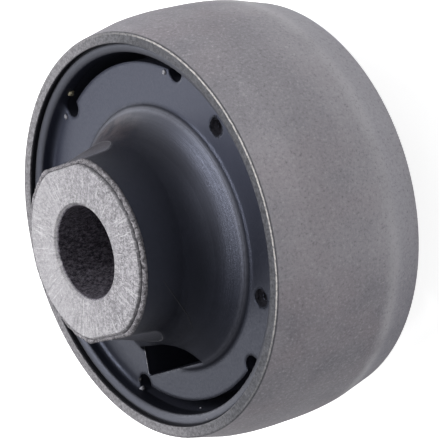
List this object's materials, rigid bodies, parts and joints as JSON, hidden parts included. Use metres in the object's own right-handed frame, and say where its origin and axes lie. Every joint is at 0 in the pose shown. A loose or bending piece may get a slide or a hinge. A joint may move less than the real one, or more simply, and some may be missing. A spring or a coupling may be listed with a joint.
{
  "type": "rubber metal bush",
  "caption": "Bonded rubber bush: a formed metal sleeve round moulded rubber with kidney-shaped voids and a pocket, on a bored metal core with flats.",
  "frame": {"origin": "on the centre line, halfway along the length", "axes": "+Z along the bore towards the end with the pocket, +Y through the middle of a kidney void and square to a flat of the core, the pocket lies on the -Y side"},
  "size_m": [0.0662, 0.0662, 0.0496],
  "materials": {
    "sleeve_metal": "matt, blasted grey with a worn rim",
    "rubber": "dull moulded black with a faint sheen",
    "core_metal": "rough cut end face, dark bore"
  },
  "bodies": {
    "root": {"outer_sleeve": "sleeve_metal", "rubber_body": "rubber", "inner_core": "core_metal"}
  },
  "joints": []
}
